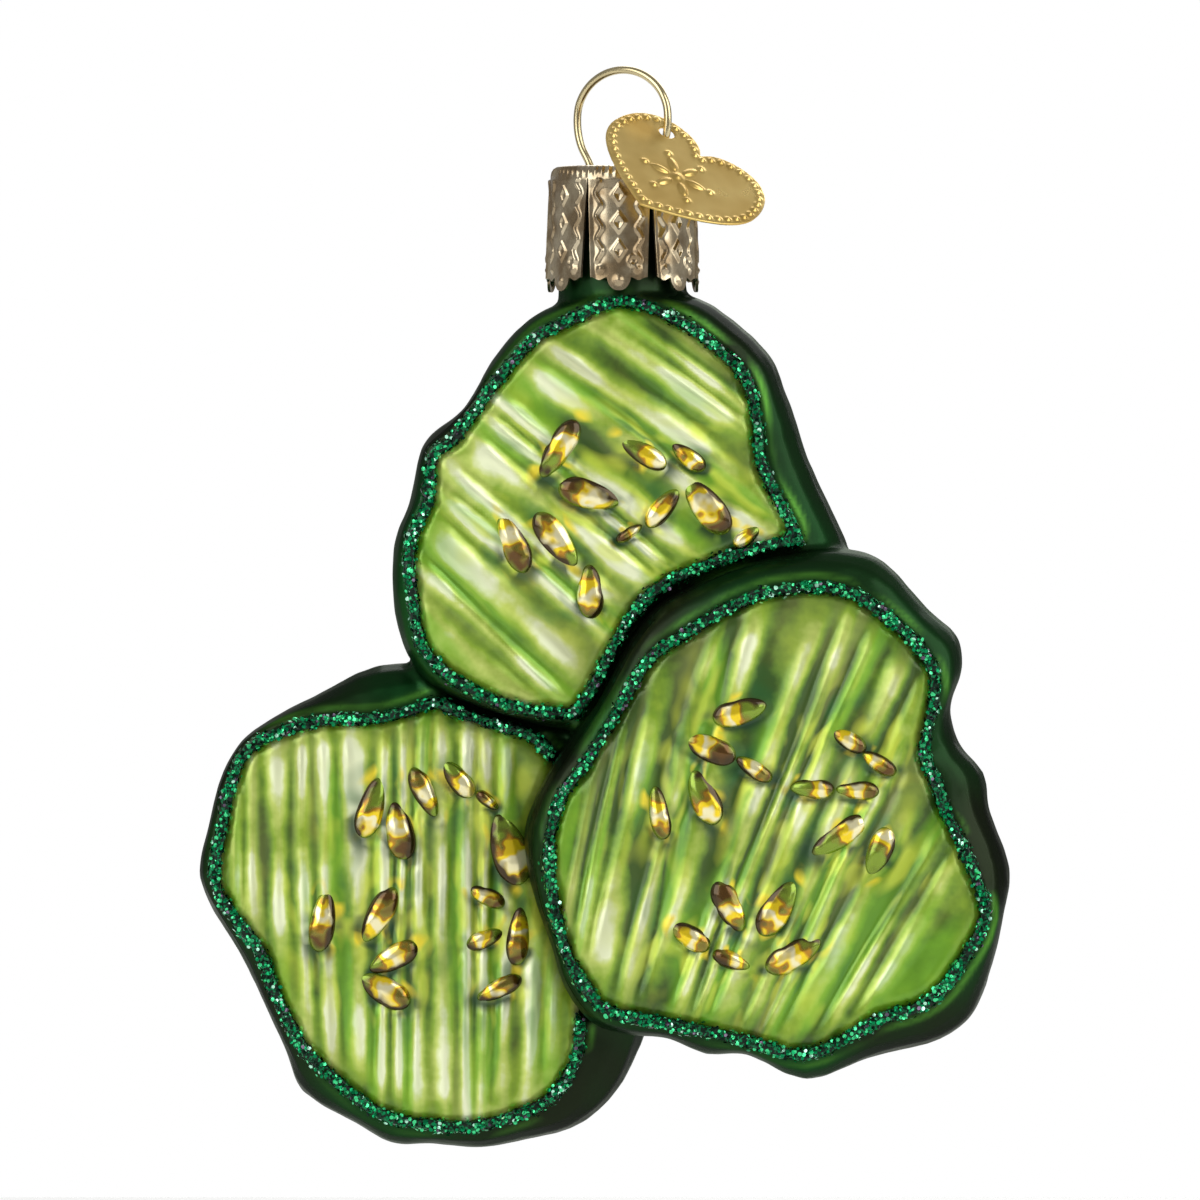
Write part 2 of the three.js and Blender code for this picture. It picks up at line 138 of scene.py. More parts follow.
class FaceSettings(bpy.types.PropertyGroup):
    """The lacquered faces with their crinkles."""

    cell: length("Mesh size", "Side of a face of the lacquer", 0.25)
    thickness: length("Thickness", "From the glass to the middle of the crinkles", 0.85)
    overlap: length("Overlap", "Reach under the glitter and into the glass", 0.75)
    relief: length("Crinkle height", "Height of a crinkle from valley to crest", 0.7)
    pitch: length("Pitch", "Between two crinkles, right, top and left", 2.8, 3, 2.05)
    turn: angle("Direction", "Of the crinkles, right, top and left", 70, -38, 90)
    fan: amount("Fan", "Spread of the crinkles by the metre, right, top and left", 11, 4, 2)
    light: amount("Light", "How light a slice is, right, top and left", -0.02, 0.27, 0.26)
    # The streak colours Shade to Pearl are spread by a tone that is partly painted light, lighter
    # on the crinkles' crests (painted highlight) and darker in their valleys (painted shade), and
    # partly random streaks.
    shade: colour("Shade", "Darkest streaks", 60, 86, 22)
    deep: colour("Deep", "Dark green streaks", 98, 134, 34)
    leaf: colour("Leaf", "Middle green", 140, 172, 48)
    pale: colour("Pale", "Light streaks", 198, 214, 108)
    pearl: colour("Pearl", "Lightest streaks", 240, 246, 204)
    lush: colour("Lush", "Bright green patches", 120, 184, 30)
    # Glint is a painted highlight: small yellow glints beside the seeds.
    glint: colour("Glint", "Small yellow places among the seeds", 250, 226, 52)
    dusk: colour("Dusk", "Greyish olive streaks", 150, 154, 84)
    lime: colour("Lime", "Clear spots among the seeds", 218, 230, 76)
    bottle: colour("Bottle", "Deep green spots among the seeds", 28, 104, 52)
    # Halo is a painted shadow: a dark green crescent under each seed.
    halo: colour("Halo", "Dark green close to the seeds", 26, 62, 34)


class SeedSettings(bpy.types.PropertyGroup):
    """The moulded seeds."""

    rise: length("Rise", "Height of a seed's top over its middle", 0.72)
    level: length("Level", "Height of a seed's middle over the glass face", 1.03)
    slimness: amount("Slimness", "Width of a seed by its length", 0.42)
    growth: amount("Growth", "Length of a seed by that of its stand-in", 1.16)
    dark: colour("Outline", "Dark line round a seed", 66, 50, 20)
    brown: colour("Brown", "Brown ends", 98, 66, 18)
    olive: colour("Olive", "Dull parts of a seed", 136, 126, 44)
    amber: colour("Amber", "Between brown and gold", 190, 132, 26)
    gold: colour("Gold", "Gold middle", 255, 222, 30)
    green: colour("Green", "Green ends of some seeds", 132, 158, 46)
    # Cream is a painted highlight across the middle of each seed.
    cream: colour("Cream", "Lightest part", 255, 246, 196)


class GlitterSettings(bpy.types.PropertyGroup):
    """The glitter bands."""

    cell: length("Mesh size", "Side of a face of the glue bead", 0.22)
    slimming: length("Slimming", "What a band loses on each side of its stand-in", 0.28)
    lumps: length("Lumps", "How uneven the glue bead is", 0.55)
    lump_span: length("Lump span", "Distance between the lumps", 1.6)
    flake: length("Flake radius", "Radius of a glitter flake", 0.165)
    cover: amount("Cover", "Area of the flakes by the area of the bead", 1)
    glue: colour("Glue", "Glue between the flakes", 2, 30, 16)
    emerald: colour("Emerald", "Most of the flakes", 2, 134, 79)
    # The Bright, Spark and Dark flake colours are painted light: lighter and darker copies of the
    # emerald that stand for flakes catching or missing the lamps.
    bright: colour("Bright", "Bright flakes", 76, 224, 146)
    spark: colour("Spark", "Lightest flakes", 186, 250, 220)
    dark: colour("Dark", "Dark flakes", 4, 34, 20)
    dusk: colour("Dusk", "Few greyish purple flakes", 98, 84, 104)


class CapSettings(bpy.types.PropertyGroup):
    """The stamped metal cap."""

    top: length("Top", "Height of the cap's top", -8.4)
    top_radius: length("Top radius", "Radius of the cap's top", 6.5)
    skirt_radius: length("Skirt radius", "Radius at the tabs' ends", 7)
    sheet: length("Sheet", "Thickness of the sheet", 0.24)
    bevel: length("Shoulder", "Radius between the top and the skirt", 1.15)
    tab_length: length("Tab length", "From the top to the tabs' shoulders", 10.1)
    lobe: length("Lobe", "From a tab's shoulders to its tip", 1.2)
    slit_start: length("Slit start", "Where the slits begin, below the top", 1.2)
    slit: length("Slit width", "Width of a slit at its lower end", 1)
    slit_turn: angle("Slit turn", "Direction of the first slit", -28.6)
    hole_span: length("Hole span", "From the axis to a wire hole", 3.34)
    hole_radius: length("Hole radius", "Radius of a wire hole", 0.7)
    loop_turn: angle("Loop turn", "Turn of the wire loop about the axis", -33)
    light: colour("Light metal", "Lighter areas of the sheet", 208, 194, 164)
    shade: colour("Darker metal", "Tarnished areas of the sheet", 150, 130, 100)


class WireSettings(bpy.types.PropertyGroup):
    """The hanger wire."""

    growth: length("Growth", "What smoothing takes off the wire's radius", 0.026)
    metal: colour("Wire metal", "Pale gold wire", 222, 206, 160)


class TagSettings(bpy.types.PropertyGroup):
    """The heart-shaped tag."""

    cell: length("Mesh size", "Side of a face of the tag", 0.085)
    half_width: length("Half width", "Half the heart's width", 7.9)
    lobe_height: length("Lobe height", "Height of the lobes over the notch", 2.15)
    tip_depth: length("Tip depth", "From the notch down to the tip", 11.7)
    hole_across: length("Hole across", "The hole from the heart's middle line", -3.8)
    hole_up: length("Hole up", "The hole over the notch", 0.25)
    hole: length("Hole", "Radius of the hole for the wire", 0.77)
    blank: length("Blank", "Thickness of the sheet before it is stamped", 0.35)
    thickness: length("Thickness", "Thickness of the stamped sheet", 0.23)
    bead_pitch: length("Bead pitch", "Distance between two beads", 0.98)
    bead_inset: length("Bead inset", "From the edge to the beads", 0.62)
    bead_height: length("Bead height", "Height of a bead", 0.25)
    side_slope: amount("Side slope", "How far the tag turns away to its side", 0.65)
    lean_slope: amount("Lean slope", "How far the tag leans forward", 1.3)
    turn: angle("Turn", "Direction of the heart's middle line", 40.3)
    light: colour("Light gold", "Gold foil", 248, 216, 134)
    shade: colour("Dark gold", "Darker gold", 216, 180, 98)


class StageSettings(bpy.types.PropertyGroup):
    """Floor, lights and camera."""

    floor: length("Floor", "Height of the floor", -135)
    floor_span: length("Floor span", "Width of the floor", 1500)
    paper: colour("Paper", "Colour of the floor", 243, 243, 242)
    view_x: length("View across", "Middle of the photograph across", -2.03)
    view_z: length("View up", "Middle of the photograph up", -47.5)
    view_span: length("View span", "Width of the photograph", 108.3)


# Node trees written as expressions

class Signal:
    """A node's output that can be used in Python sums."""

    def __init__(self, tree, node, output):
        self.tree = tree
        self.node = node
        self.output = output

    def sum(self, operation, other):
        return self.tree.node("Math", {0: self, 1: other}, operation=operation)

    def __add__(self, other):
        return self.sum("ADD", other)

    def __sub__(self, other):
        return self.sum("SUBTRACT", other)

    def __mul__(self, other):
        return self.sum("MULTIPLY", other)

    __rmul__ = __mul__


class Nodes:
    """The node tree of a material or a world."""

    def __init__(self, owner):
        owner.use_nodes = True
        self.tree = owner.node_tree
        self.tree.nodes.clear()

    def plug(self, socket, value):
        """Gives a socket a link, a colour or a number."""
        if isinstance(value, Signal):
            self.tree.links.new(value.node.outputs[value.output], socket)
        elif socket.type == "RGBA":
            socket.default_value = (*value[:3], 1)
        else:
            socket.default_value = value

    def node(self, kind, sockets=(), output=0, **settings):
        """Adds a node: its settings first, then its sockets by name or number."""
        made = self.tree.nodes.new(f"ShaderNode{kind}")
        for name, value in settings.items():
            setattr(made, name, value)
        for name, value in dict(sockets).items():
            self.plug(made.inputs[name], value)
        return Signal(self, made, output)

    def between(self, value, low, high, start=0, end=1):
        """Spreads a value's range over another, without going past its ends."""
        return self.node("MapRange", {"Value": value, "From Min": low, "From Max": high,
                                      "To Min": start, "To Max": end}, clamp=True)


class Finish(Nodes):
    """A procedural material made round one Principled shader."""

    def __init__(self, name):
        self.material = bpy.data.materials.new(name)
        super().__init__(self.material)
        shader = self.node("BsdfPrincipled")
        self.node("OutputMaterial", {"Surface": shader})
        self.shader = shader.node

    def set(self, **sockets):
        """Sets the Principled shader's sockets, with _ for the spaces in their names."""
        for name, value in sockets.items():
            self.plug(self.shader.inputs[name.replace("_", " ")], value)
        return self

    def place(self):
        return self.node("TexCoord", output="Object")

    def attribute(self, name):
        return self.node("Attribute", output="Fac", attribute_name=name)

    def noise(self, scale, detail=1, vector=None):
        """Noise in the object's own coordinates, or in those given."""
        return self.node("TexNoise", {"Vector": vector or self.place(), "Scale": scale,
                                      "Detail": detail, "Roughness": 0.55})

    def streaks(self, along, across, detail=1):
        """Noise drawn out along the crinkles, by a span along and one across them."""
        return self.noise(1, detail, self.node("CombineXYZ", {
            0: self.attribute("along") * (1 / along), 1: self.attribute("across") * (1 / across)}))

    def ramp(self, value, *stops):
        """A colour ramp, each stop a place and a colour."""
        made = self.node("ValToRGB", {"Fac": value})
        elements = made.node.color_ramp.elements
        while len(elements) < len(stops):
            elements.new(1)
        for element, (place, shade) in zip(elements, stops):
            element.position = place
            element.color = (*shade, 1)
        return made

    def mix(self, factor, first, second):
        return self.node("Mix", {0: factor, 6: first, 7: second}, 2, data_type="RGBA")

    def bump(self, height, distance, strength):
        return self.node("Bump", {"Height": height, "Distance": distance, "Strength": strength})


# Shaping

def select_none():
    """Leaves edit mode and deselects everything, the CAD nodes too."""
    if bpy.context.mode != "OBJECT":
        bpy.ops.object.mode_set(mode="OBJECT")
    bpy.ops.object.select_all(action="DESELECT")


def take(piece):
    """Makes a piece the only selected one."""
    select_none()
    piece.select_set(True)
    bpy.context.view_layer.objects.active = piece
    return piece


def new_piece(name, mesh):
    piece = bpy.data.objects.new(name, mesh)
    bpy.context.collection.objects.link(piece)
    return take(piece)


def built(name, points, faces):
    """A piece made of points and of faces between them."""
    mesh = bpy.data.meshes.new(name)
    mesh.from_pydata(points.tolist(), [], faces)
    return new_piece(name, mesh)


def edited(piece, step, **settings):
    """Runs one mesh operator on all of a piece."""
    take(piece)
    bpy.ops.object.mode_set(mode="EDIT")
    bpy.ops.mesh.select_all(action="SELECT")
    step(**settings)
    bpy.ops.object.mode_set(mode="OBJECT")
    return piece


def outward(piece):
    """Turns all the faces of a piece outwards."""
    return edited(piece, bpy.ops.mesh.normals_make_consistent, inside=False)


def thickened(piece, *move):
    """Extrudes an open sheet into a closed slab."""
    edited(piece, bpy.ops.mesh.extrude_region_move, TRANSFORM_OT_translate={"value": move})
    return outward(piece)


def copied_node(node, name):
    """A welded copy of a CAD node."""
    piece = new_piece(name, frame["nodes"][node].data.copy())
    piece.data.materials.clear()
    edited(piece, bpy.ops.mesh.remove_doubles, threshold=WELD)
    bpy.ops.mesh.customdata_custom_splitnormals_clear()
    return piece


def modified(piece, kind, **settings):
    """Adds a modifier and applies it."""
    take(piece)
    modifier = piece.modifiers.new(kind.title(), kind)
    for name, value in settings.items():
        setattr(modifier, name, value)
    bpy.ops.object.modifier_apply(modifier=modifier.name)
    return piece


def smoothed(piece, rounds, factor=0.5):
    return modified(piece, "SMOOTH", factor=factor, iterations=rounds)


def remeshed(piece, cell):
    return modified(piece, "REMESH", mode="VOXEL", voxel_size=cell)


def lumpy(piece, name, span, strength, mid_level=0.5):
    """Makes a surface uneven, with lumps a span apart."""
    clouds = bpy.data.textures.new(name, "CLOUDS")
    clouds.noise_scale = span
    return modified(piece, "DISPLACE", texture=clouds, texture_coords="LOCAL",
                    strength=strength, mid_level=mid_level)


def drilled(piece, radius, corners, spot):
    """Cuts a round hole through a piece along Z."""
    select_none()
    bpy.ops.mesh.primitive_cylinder_add(
        vertices=corners, radius=radius, depth=2 * MM, location=spot)
    drill = bpy.context.object
    modified(piece, "BOOLEAN", operation="DIFFERENCE", object=drill, solver="EXACT")
    bpy.data.objects.remove(drill)


def read(collection, name, width):
    """The numbers of one field of a mesh, some for each item."""
    values = np.empty(len(collection) * width, np.float32)
    collection.foreach_get(name, values)
    return values.reshape(-1, width) if width > 1 else values


def points_of(piece):
    return read(piece.data.vertices, "co", 3)


def move_points(piece, points):
    piece.data.vertices.foreach_set("co", np.asarray(points, np.float32).ravel())
    piece.data.update()


def keep(piece, **attributes):
    """Stores numbers for the piece's material, one for each vertex under each name."""
    for name, values in attributes.items():
        attribute = piece.data.attributes.new(name, "FLOAT", "POINT")
        attribute.data.foreach_set("value", np.asarray(values, np.float32))


def select_faces(piece, flags):
    """Enters edit mode with only the flagged faces selected."""
    edited(piece, bpy.ops.mesh.select_all, action="DESELECT")
    bpy.context.tool_settings.mesh_select_mode = (False, False, True)
    piece.data.polygons.foreach_set("select", np.asarray(flags, bool))
    piece.data.update()
    bpy.ops.object.mode_set(mode="EDIT")


def faces_within(piece, flags):
    """Which faces have all their vertices flagged."""
    return np.array([all(flags[i] for i in face.vertices) for face in piece.data.polygons])


def groups_of(piece, chosen):
    """The vertices of the chosen faces, in connected groups."""
    groups = []
    for face in piece.data.polygons:
        if chosen[face.index]:
            apart, joined = [], set(face.vertices)
            for group in groups:
                if group.isdisjoint(face.vertices):
                    apart.append(group)
                else:
                    joined = group | joined
            groups = [*apart, joined]
    return [sorted(group) for group in groups]


def dress(piece, finish, body, slot, *nodes):
    """Gives a piece its finish and body, and hides the CAD nodes that it stands for; the slot is
    not used.
    """
    piece.data.materials.clear()
    piece.data.materials.append(finish.material)
    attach(piece, body)
    if nodes:
        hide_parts(*nodes)


def smooth(piece):
    take(piece)
    bpy.ops.object.shade_smooth()
    return piece


def hill(distance, width):
    """A soft bump of height 1."""
    return np.exp(-(distance / width) ** 2)


# Outlines and crinkles of the slices

def face_node(kind, name, side_name):
    return f"{name}_{kind}_{side_name}"


def border_of(piece):
    """The edges round an open sheet, as pairs of flat points."""
    count = {}
    for polygon in piece.data.polygons:
        for key in polygon.edge_keys:
            count[key] = count.get(key, 0) + 1
    flat = points_of(piece)[:, [0, 2]]
    return np.array([(flat[a], flat[b]) for (a, b), uses in count.items() if uses == 1])


def away_from(flat, border):
    """How far each flat point is from the nearest of some edges."""
    found = np.full(len(flat), 1.0)
    for start, end in border:
        run = end - start
        share = np.clip((flat - start) @ run / (run @ run), 0, 1)
        found = np.minimum(found, np.linalg.norm(flat - start - share[:, None] * run, axis=1))
    return found


def face_sheet(name, side_name):
    """The flat underside of a CAD face as an open sheet, and its height along Y."""
    piece = copied_node(face_node("lacquer", name, side_name), f"{name}_face_{side_name}")
    points = points_of(piece)
    under = float((points[:, 1] * SIDES[side_name]).min()) * SIDES[side_name]
    select_faces(piece, ~faces_within(piece, np.abs(points[:, 1] - under) < FLAT))
    bpy.ops.mesh.delete(type="FACE")
    bpy.ops.object.mode_set(mode="OBJECT")
    return piece, under


def face_edges(name, side_name):
    """The border of a CAD face's underside, and its height along Y."""
    sheet, under = face_sheet(name, side_name)
    border = border_of(sheet)
    bpy.data.objects.remove(sheet)
    return border, under


def crinkles(settings, name, points):
    """Places along and across a slice's bent crinkles, their wave, 0 to 1, and its strength."""
    low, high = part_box(face_node("lacquer", name, "front"))
    number = SLICES.index(name)
    turn, pitch = settings.turn[number], settings.pitch[number]
    right, up = points[:, 0] - (low.x + high.x) / 2, points[:, 2] - (low.z + high.z) / 2
    along = right * math.cos(turn) + up * math.sin(turn)
    across = up * math.cos(turn) - right * math.sin(turn)
    across = across / (1 + settings.fan[number] * along)
    x, y = across / MM, along / MM
    slip = 0.2 * np.sin(0.31 * x + 1.3) + 0.16 * np.sin(0.83 * x + 0.03 * y)
    slip = slip + 0.1 * np.sin(0.09 * y + 0.45 * x) + 0.04 * np.sin(0.3 * y + 1.7 * x)
    across = across + slip * pitch
    wave = 0.5 + 0.5 * np.cos(2 * math.pi * across / pitch)
    strength = 0.72 + 0.28 * np.sin(0.23 * x + 0.11 * y + 2) * np.sin(0.4 * y - 0.15 * x)
    return along, across, wave, strength


# Glass

ROUNDINGS = 16
PUSH_BACK = -0.52  # undoes the shrinking of one smoothing


def inner_faces(piece):
    """Flags the faces of the hollow, which only the neck's top edge joins to the outside."""
    points = points_of(piece)
    top = points[:, 2] > points[:, 2].max() - FLAT
    radius = np.where(top, np.hypot(points[:, 0], points[:, 1]), 1)
    for group in groups_of(piece, ~faces_within(piece, top)):
        if radius.argmin() in group:
            flags = np.zeros(len(points), bool)
            flags[group] = True
            return faces_within(piece, flags)
    raise RuntimeError("the neck has no bore")


def gleam_on(points, normals, settings):
    """Where the painted highlight lies: near the line round the glitter, stronger on the glass's
    right and upper sides, where the light falls.
    """
    found = np.zeros(len(points))
    flat = points[:, [0, 2]]
    for name, side_name in COATS:
        border, under = face_edges(name, side_name)
        sunk = (under - points[:, 1]) * SIDES[side_name]
        low, high = border.min((0, 1)) - 5 * MM, border.max((0, 1)) + 5 * MM
        near = (np.abs(sunk - 1 * MM) < 2.5 * MM) & np.all((flat > low) & (flat < high), 1)
        away = away_from(flat[near], border) - settings.gleam_reach
        line = hill(away, settings.gleam_width)
        line = line * np.clip((2 * MM - sunk[near]) / (1.2 * MM), 0, 1)
        found[near] = np.maximum(found[near], line)
    # The painted highlight is kept brightest where the glass faces right and up, towards the
    # lamps.
    return found * np.clip(0.55 + 0.75 * normals[:, 0] + 0.45 * normals[:, 2], 0.12, 1)


def blown_glass(settings):
    """The three slices and the neck as one smooth blown surface, open down the neck."""
    piece = copied_node("glass_body", "glass")
    select_faces(piece, inner_faces(piece))
    bpy.ops.mesh.bisect(plane_co=(0, 0, -settings.bore_depth), plane_no=(0, 0, 1),
                        use_fill=True, clear_inner=True)
    bpy.ops.object.mode_set(mode="OBJECT")
    remeshed(piece, settings.cell)
    for _ in range(ROUNDINGS):
        smoothed(smoothed(piece, 1), 1, PUSH_BACK)
    smoothed(lumpy(piece, "Dents", settings.dent_span, settings.dent), 2)
    normals = read(piece.data.vertices, "normal", 3)
    # Stores where the painted highlight lies.
    keep(piece, gleam=gleam_on(points_of(piece), normals, settings))
    return smooth(piece)


def glass_finish(settings):
    """Green lacquer over silvered glass: dark where it is thick, clear where it is thin, with a
    painted highlight line beside the glitter.
    """
    finish = Finish("green_glass")
    drift = finish.noise(75)
    breaks = finish.between(finish.noise(150), 0.42, 0.62)
    lacquer = finish.mix(finish.between(drift, 0.34, 0.76), settings.deep, settings.clear)
    # The painted highlight line is mixed over the lacquer in the base colour.
    return finish.set(
        Base_Color=finish.mix(finish.attribute("gleam") * breaks, lacquer, settings.gleam),
        Metallic=0.85,
        Roughness=finish.between(drift, 0.3, 0.7, 0.33, 0.42),
        Specular_Tint=(0.26, 0.3, 0.22),
        Coat_Weight=0.06, Coat_Roughness=0.1,
        Normal=finish.bump(finish.noise(900, 2), 0.02 * MM, 0.35))


class ORNAMENT_OT_glass(bpy.types.Operator):
    """Blows the three slices and the neck"""

    bl_idname = "ornament.glass"
    bl_label = "Glass"

    def execute(self, context):
        settings = context.scene.ornament_glass
        dress(blown_glass(settings), glass_finish(settings), "glass", "green_glass", "glass_body")
        return {"FINISHED"}


# Lacquered faces and seeds

SEED_DRAW = 11
SEED_DEPTH = 0.3 * MM  # how far the CAD faces reach into the glass
EDGE_FADE = 2 * MM  # where the crinkles fade towards the edge of a face
CORE_REACH = 5.2 * MM  # how far the clear and dark spots lie from a seed
INLAND_REACH = 9 * MM  # how far the light edge of a face reaches in
BACK_SHIFT = 0.1  # gives the back other streaks than the front


def seed_places(node, side):
    """Reads the seeds of a CAD face: middle, direction of the length, and length."""
    piece = copied_node(node, "reading")
    points = points_of(piece)
    crest = float((points[:, 1] * side).max()) * side
    places = []
    for group in groups_of(piece, faces_within(piece, np.abs(points[:, 1] - crest) < FLAT)):
        flat = points[group][:, [0, 2]]
        middle = flat.mean(0)
        _, _, axes = np.linalg.svd(flat - middle)
        places.append((middle, axes[0], 2 * float(np.ptp((flat - middle) @ axes[0]))))
    bpy.data.objects.remove(piece)
    return sorted(places, key=lambda place: (round(float(place[0][0]), 5), float(place[0][1])))


def lacquered_face(settings, name, side_name):
    """One lacquered face, crinkled along its direction and swelling a little round its seeds."""
    side = SIDES[side_name]
    piece, under = face_sheet(name, side_name)
    border = border_of(piece)
    thickened(piece, 0, side * settings.thickness, 0)
    remeshed(piece, settings.cell)
    modified(piece, "DISPLACE", strength=settings.overlap, mid_level=0)
    smoothed(piece, 3)
    points = points_of(piece)
    along, across, wave, strength = crinkles(settings, name, points)
    inland = away_from(points[:, [0, 2]], border)
    strength = strength * (0.3 + 0.7 * np.clip(inland / EDGE_FADE - 0.2, 0, 1))
    near, halo, core = np.zeros((3, len(points)))
    for spot, axis, span in seed_places(face_node("lacquer", name, side_name), side):
        offset = points[:, [0, 2]] - spot
        lengthwise = offset @ axis
        crosswise = offset @ np.array((-axis[1], axis[0]))
        far = np.hypot(lengthwise / (0.62 * span), crosswise / (0.3 * span))
        # Painted shadow under each seed: strongest on its lower side, as if lit from above. The
        # face also dips a little there.
        below = np.clip(0.55 - offset[:, 1] / (0.5 * span), 0, 1)
        near = np.maximum(near, hill(far, 1.6))
        core = np.maximum(core, hill(np.hypot(lengthwise, crosswise), CORE_REACH))
        halo = np.maximum(halo, hill(far - 1, 0.42) * below)
    share = np.clip((points[:, 1] - under) * side / settings.thickness, 0, 1)
    relief = settings.relief * settings.pitch[SLICES.index(name)] / settings.pitch[0]
    lift = relief * ((wave - 0.5) * strength * (1 - 0.4 * near) + 0.2 * near - 0.3 * halo)
    points[:, 1] += side * share * (lift - settings.overlap)
    move_points(piece, points)
    keep(piece, along=along + BACK_SHIFT * side, across=across, crest=wave * strength, halo=halo,
         core=core, near=near, inland=np.clip(inland / INLAND_REACH, 0, 1))
    return smooth(piece)


def face_finish(settings, name):
    """Pearly green lacquer, streaked along the crinkles, with clear and dark spots among the
    seeds, painted highlight on the crests, painted shade in the valleys, painted glints and a
    painted shadow under each seed.
    """
    finish = Finish(f"{name}_face")
    number = SLICES.index(name)
    pitch = settings.pitch[number]
    patches = finish.noise(115, 2) - 0.5
    mottle = finish.noise(620, 2) - 0.5
    broad = finish.streaks(28 * MM, 1.3 * pitch) - 0.5
    fine = finish.streaks(13 * MM, 0.42 * pitch) - 0.5
    bands = finish.streaks(-24 * MM, 1.05 * pitch)
    spots = finish.streaks(4.5 * MM, 1.7 * MM)
    # Painted glints: small yellow highlights close beside the seeds.
    glints = finish.between(finish.streaks(2.4 * MM, 1.3 * MM, 0), 0.58, 0.72)
    glints = glints * finish.between(finish.attribute("near"), 0.44, 0.62)
    core = finish.attribute("core")
    # The crest term is painted light: highlight on the crinkles' crests and shade in their
    # valleys. The streaks, patches and mottle vary at random.
    tone = 1.05 * finish.attribute("crest") + 1.15 * broad + 0.2 * fine
    tone = tone + 1.1 * patches + 0.5 * mottle
    tone = tone - 0.26 * finish.attribute("inland") + settings.light[number] + 0.155
    shade = finish.ramp(
        finish.between(tone, 0, 1), (0.05, settings.shade), (0.25, settings.deep),
        (0.48, settings.leaf), (0.74, settings.pale), (0.97, settings.pearl))
    # Tints over the streaks: random dusk, lush, lime and bottle patches, then the painted glints
    # and the painted shadow under the seeds.
    for factor, tint in (
            (finish.between(bands, 0.52, 0.66) * 0.4, settings.dusk),
            (finish.between(bands, 0.46, 0.36) * 0.5, settings.lush),
            (finish.between(spots, 0.52, 0.66) * core * 0.75, settings.lime),
            (finish.between(spots, 0.44, 0.3) * core * 0.65, settings.bottle),
            (glints * 0.85, settings.glint),
            (finish.attribute("halo") * finish.between(finish.noise(480), 0.4, 0.56) * 0.9,
             settings.halo)):
        shade = finish.mix(factor, shade, tint)
    return finish.set(
        Base_Color=shade,
        Metallic=0.4,
        Roughness=finish.between(fine, -0.2, 0.2, 0.28, 0.4),
        Coat_Weight=0.3, Coat_Roughness=0.2,
        Normal=finish.bump(fine, 0.1 * MM, 0.22))


def seed_shape():
    """A pointed lens of length 2, width 2 and height 2 round the origin, its length along X."""
    select_none()
    bpy.ops.mesh.primitive_uv_sphere_add(segments=26, ring_count=19, radius=1)
    piece = bpy.context.object
    x, y, lengthwise = points_of(piece).T
    faces = [tuple(face.vertices) for face in piece.data.polygons]
    bpy.data.objects.remove(piece)
    swell = (1 - np.abs(lengthwise) ** 2.3) ** 0.53 * (1 - 0.18 * lengthwise)
    swell = swell / np.maximum(np.hypot(x, y), 1e-6)
    return np.column_stack((lengthwise, x * swell, y * swell)), faces


def seeds_on(settings, name, side_name, shape, faces, chance):
    """All the seeds of one face."""
    side = SIDES[side_name]
    node = face_node("lacquer", name, side_name)
    low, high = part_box(node)
    level = (low.y if side > 0 else high.y) + side * (settings.level - SEED_DEPTH)
    points, lean, tone = [], [], []
    for spot, axis, span in seed_places(node, side):
        axis = axis * chance.choice((-1, 1))
        half = settings.growth * span / 2
        x = shape[:, 0] * half
        y = shape[:, 1] * half * settings.slimness * chance.uniform(0.9, 1.2)
        points.append(np.column_stack((
            spot[0] + x * axis[0] - y * axis[1],
            level + side * shape[:, 2] * settings.rise,
            spot[1] + x * axis[1] + y * axis[0])))
        lean.append(shape[:, 1] * chance.choice((-1, 1)))
        tone.append(np.full(len(shape), chance.uniform(0, 1)))
    count = len(points)
    corners = [[i + n * len(shape) for i in face] for n in range(count) for face in faces]
    piece = built(f"{name}_seeds_{side_name}", np.concatenate(points), corners)
    keep(piece, along=np.tile(shape[:, 0], count), rise=np.tile(shape[:, 2], count),
         lean=np.concatenate(lean), tone=np.concatenate(tone))
    return smooth(outward(piece))


def seed_finish(settings):
    """Gold and brown lacquer over silver, with a painted cream highlight across each seed and a
    dark line round the foot.
    """
    finish = Finish("seeds")
    wander = finish.noise(700) - 0.5
    split = finish.attribute("along") + 1.1 * finish.attribute("tone") + 1.5 * wander - 0.45
    gilded = finish.ramp(
        finish.between(split, -1, 1), (0.1, settings.brown), (0.22, settings.olive),
        (0.29, settings.amber), (0.33, settings.gold), (0.47, settings.cream),
        (0.55, settings.cream), (0.62, settings.gold), (0.72, settings.gold),
        (0.76, settings.amber), (0.82, settings.olive), (0.94, settings.green))
    lean = finish.attribute("lean")
    leaning = finish.between(lean + 3 * wander, -0.25, 0.25)
    foot = finish.between(finish.attribute("rise") + 0.3 * lean + 1.2 * wander, 0.42, 0.78)
    return finish.set(
        Base_Color=finish.mix(foot, finish.mix(leaning, settings.dark, settings.green), gilded),
        Metallic=0.7,
        Roughness=0.2,
        Coat_Weight=0.45, Coat_Roughness=0.06,
        Normal=finish.bump(wander, 0.25 * MM, 0.4))


class ORNAMENT_OT_faces(bpy.types.Operator):
    """Lacquers the faces of the slices, crinkled and streaked"""

    bl_idname = "ornament.faces"
    bl_label = "Faces"

    def execute(self, context):
        settings = context.scene.ornament_faces
        finishes = {name: face_finish(settings, name) for name in SLICES}
        for name, side_name in COATS:
            dress(lacquered_face(settings, name, side_name), finishes[name], "glass",
                  "face_lacquer", face_node("lacquer", name, side_name))
        return {"FINISHED"}


